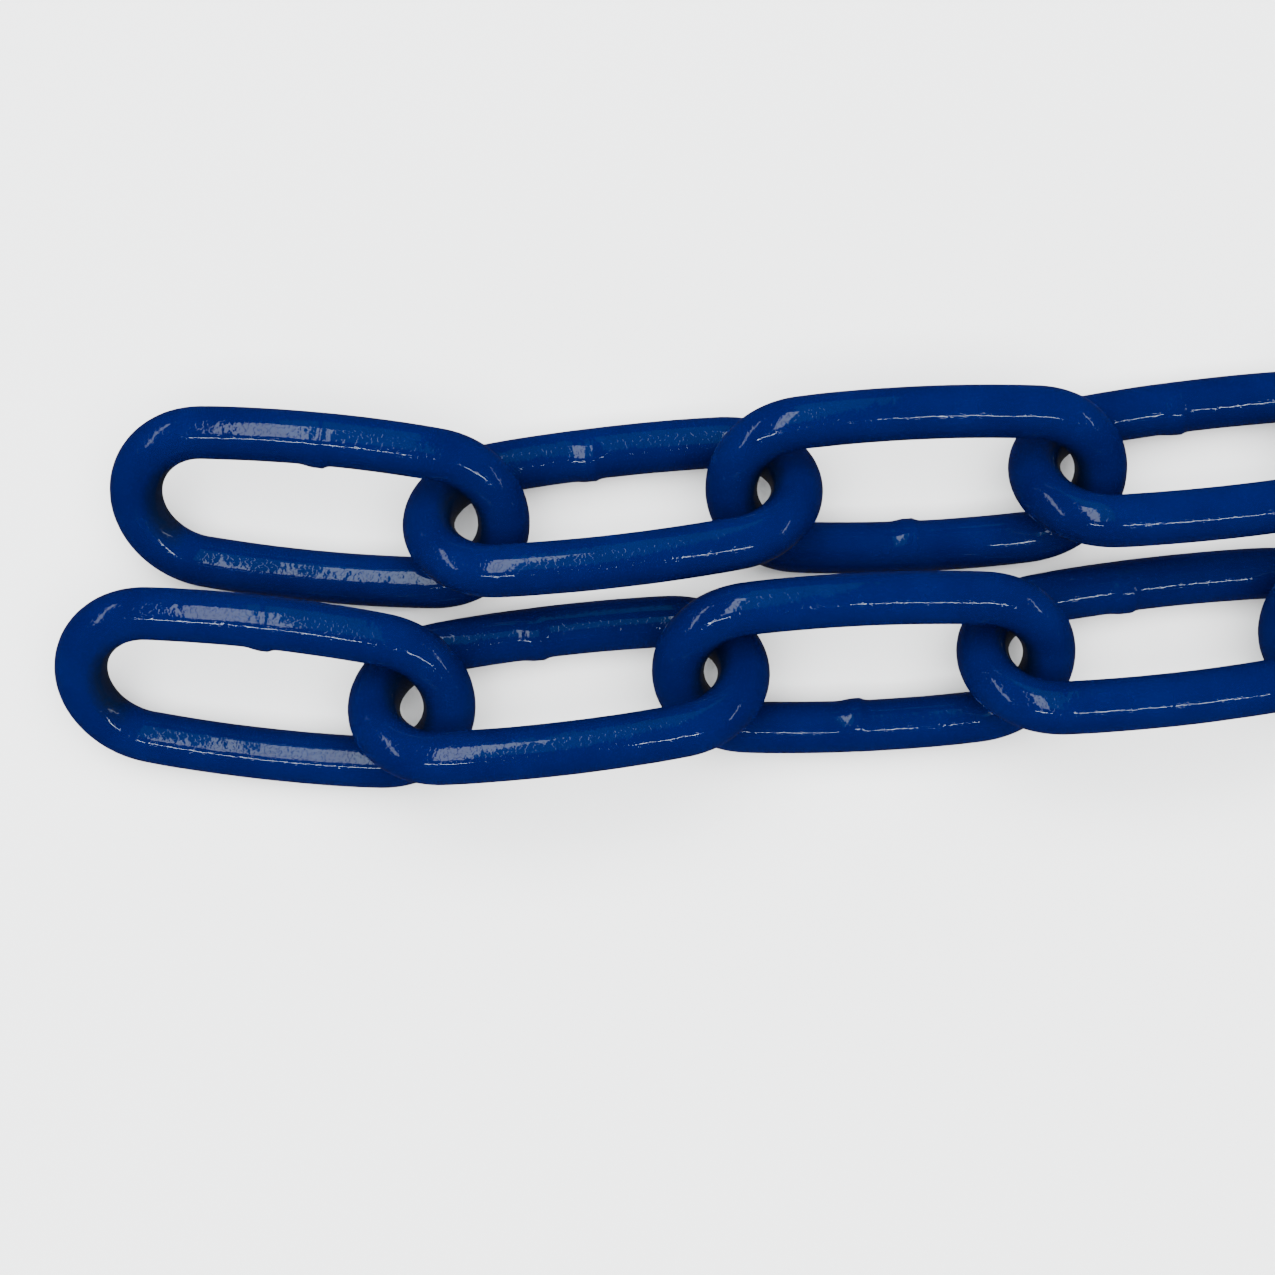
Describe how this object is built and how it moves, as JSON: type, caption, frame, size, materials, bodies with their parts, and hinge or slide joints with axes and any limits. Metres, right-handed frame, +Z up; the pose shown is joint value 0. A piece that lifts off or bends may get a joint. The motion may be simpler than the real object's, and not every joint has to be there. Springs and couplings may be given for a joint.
{
  "type": "lashing chain",
  "caption": "Blue painted long-link lashing chain of welded steel wire, lying doubled with both open ends side by side and a wide bend at the other end.",
  "frame": {"origin": "on the surface the chain lies on, under the middle of its box", "axes": "+X from the two free ends towards the bend, +Y from the front run to the back run, +Z up"},
  "size_m": [0.7038, 0.274, 0.0322],
  "materials": {
    "blue_paint": "thick glossy deep blue paint with orange peel"
  },
  "bodies": {
    "link_01": {"link_01": "blue_paint"},
    "link_02": {"link_02": "blue_paint"},
    "link_03": {"link_03": "blue_paint"},
    "link_04": {"link_04": "blue_paint"},
    "link_05": {"link_05": "blue_paint"},
    "link_06": {"link_06": "blue_paint"},
    "link_07": {"link_07": "blue_paint"},
    "link_08": {"link_08": "blue_paint"},
    "link_09": {"link_09": "blue_paint"},
    "link_10": {"link_10": "blue_paint"},
    "link_11": {"link_11": "blue_paint"},
    "link_12": {"link_12": "blue_paint"},
    "link_13": {"link_13": "blue_paint"},
    "link_14": {"link_14": "blue_paint"},
    "link_15": {"link_15": "blue_paint"},
    "link_16": {"link_16": "blue_paint"},
    "link_17": {"link_17": "blue_paint"},
    "link_18": {"link_18": "blue_paint"},
    "link_19": {"link_19": "blue_paint"},
    "link_20": {"link_20": "blue_paint"},
    "link_21": {"link_21": "blue_paint"},
    "link_22": {"link_22": "blue_paint"},
    "link_23": {"link_23": "blue_paint"},
    "link_24": {"link_24": "blue_paint"}
  },
  "joints": [
    {"name": "link_01_lift", "type": "hinge", "parent": "link_02", "child": "link_01", "pos_m": [-0.26432, -0.00234, 0.01565], "axis": [0.0698, 0.9976, 0], "range_deg": [-26, 26]},
    {"name": "link_02_swing", "type": "hinge", "parent": "link_03", "child": "link_02", "pos_m": [-0.20195, 0.00089, 0.01611], "axis": [0, 0, 1], "range_deg": [-26, 0]},
    {"name": "link_03_lift", "type": "hinge", "parent": "link_04", "child": "link_03", "pos_m": [-0.13859, -0.0018, 0.01611], "axis": [0, 1, 0], "range_deg": [-32, 32]},
    {"name": "link_04_swing", "type": "hinge", "parent": "link_05", "child": "link_04", "pos_m": [-0.07517, -0.00006, 0.01611], "axis": [0, 0, 1], "range_deg": [-20, 0]},
    {"name": "link_05_lift", "type": "hinge", "parent": "link_06", "child": "link_05", "pos_m": [-0.01354, 0.01519, 0.01611], "axis": [-0.3584, 0.9336, 0], "range_deg": [-22, 22]},
    {"name": "link_06_swing", "type": "hinge", "parent": "link_07", "child": "link_06", "pos_m": [0.04209, 0.04571, 0.01611], "axis": [0, 0, 1], "range_deg": [-28, 0]},
    {"name": "link_07_lift", "type": "hinge", "parent": "link_08", "child": "link_07", "pos_m": [0.09807, 0.07547, 0.01611], "axis": [-0.4695, 0.8829, 0], "range_deg": [-34, 34]},
    {"name": "link_08_lift", "type": "hinge", "parent": "link_09", "child": "link_08", "pos_m": [0.15373, 0.10594, 0.01611], "axis": [-0.3665, 0.9304, 0], "range_deg": [-22, 22]},
    {"name": "link_09_swing", "type": "hinge", "parent": "link_10", "child": "link_09", "pos_m": [0.21497, 0.12337, 0.01611], "axis": [0, 0, 1], "range_deg": [-48, 0]},
    {"name": "link_10_swing", "type": "hinge", "parent": "link_11", "child": "link_10", "pos_m": [0.27666, 0.10685, 0.01611], "axis": [0, 0, 1], "range_deg": [-48, 0]},
    {"name": "link_11_swing", "type": "hinge", "parent": "link_12", "child": "link_11", "pos_m": [0.32182, 0.06169, 0.01611], "axis": [0, 0, 1], "range_deg": [-48, 0]},
    {"name": "link_13_swing", "type": "hinge", "parent": "link_12", "child": "link_13", "pos_m": [0.33835, 0, 0.01611], "axis": [0, 0, 1], "range_deg": [0, 48]},
    {"name": "link_14_swing", "type": "hinge", "parent": "link_13", "child": "link_14", "pos_m": [0.32182, -0.06169, 0.01611], "axis": [0, 0, 1], "range_deg": [0, 48]},
    {"name": "link_15_swing", "type": "hinge", "parent": "link_14", "child": "link_15", "pos_m": [0.27666, -0.10685, 0.01611], "axis": [0, 0, 1], "range_deg": [0, 48]},
    {"name": "link_16_swing", "type": "hinge", "parent": "link_15", "child": "link_16", "pos_m": [0.21497, -0.12337, 0.01611], "axis": [0, 0, 1], "range_deg": [0, 48]},
    {"name": "link_17_lift", "type": "hinge", "parent": "link_16", "child": "link_17", "pos_m": [0.15392, -0.10538, 0.01611], "axis": [-0.2842, -0.9588, 0], "range_deg": [-22, 22]},
    {"name": "link_18_lift", "type": "hinge", "parent": "link_17", "child": "link_18", "pos_m": [0.09368, -0.08559, 0.01611], "axis": [-0.3095, -0.9509, 0], "range_deg": [-34, 34]},
    {"name": "link_19_swing", "type": "hinge", "parent": "link_18", "child": "link_19", "pos_m": [0.0334, -0.06597, 0.01611], "axis": [0, 0, 1], "range_deg": [0, 28]},
    {"name": "link_20_lift", "type": "hinge", "parent": "link_19", "child": "link_20", "pos_m": [-0.02675, -0.04583, 0.01611], "axis": [-0.2338, -0.9723, 0], "range_deg": [-22, 22]},
    {"name": "link_21_swing", "type": "hinge", "parent": "link_20", "child": "link_21", "pos_m": [-0.0894, -0.03577, 0.01611], "axis": [0, 0, 1], "range_deg": [0, 20]},
    {"name": "link_22_lift", "type": "hinge", "parent": "link_21", "child": "link_22", "pos_m": [-0.15276, -0.03888, 0.01611], "axis": [0, -1, 0], "range_deg": [-32, 32]},
    {"name": "link_23_swing", "type": "hinge", "parent": "link_22", "child": "link_23", "pos_m": [-0.21612, -0.03619, 0.01611], "axis": [0, 0, 1], "range_deg": [0, 26]},
    {"name": "link_24_lift", "type": "hinge", "parent": "link_23", "child": "link_24", "pos_m": [-0.27849, -0.03949, 0.01565], "axis": [-0.0785, -0.9969, 0], "range_deg": [-26, 26]}
  ]
}
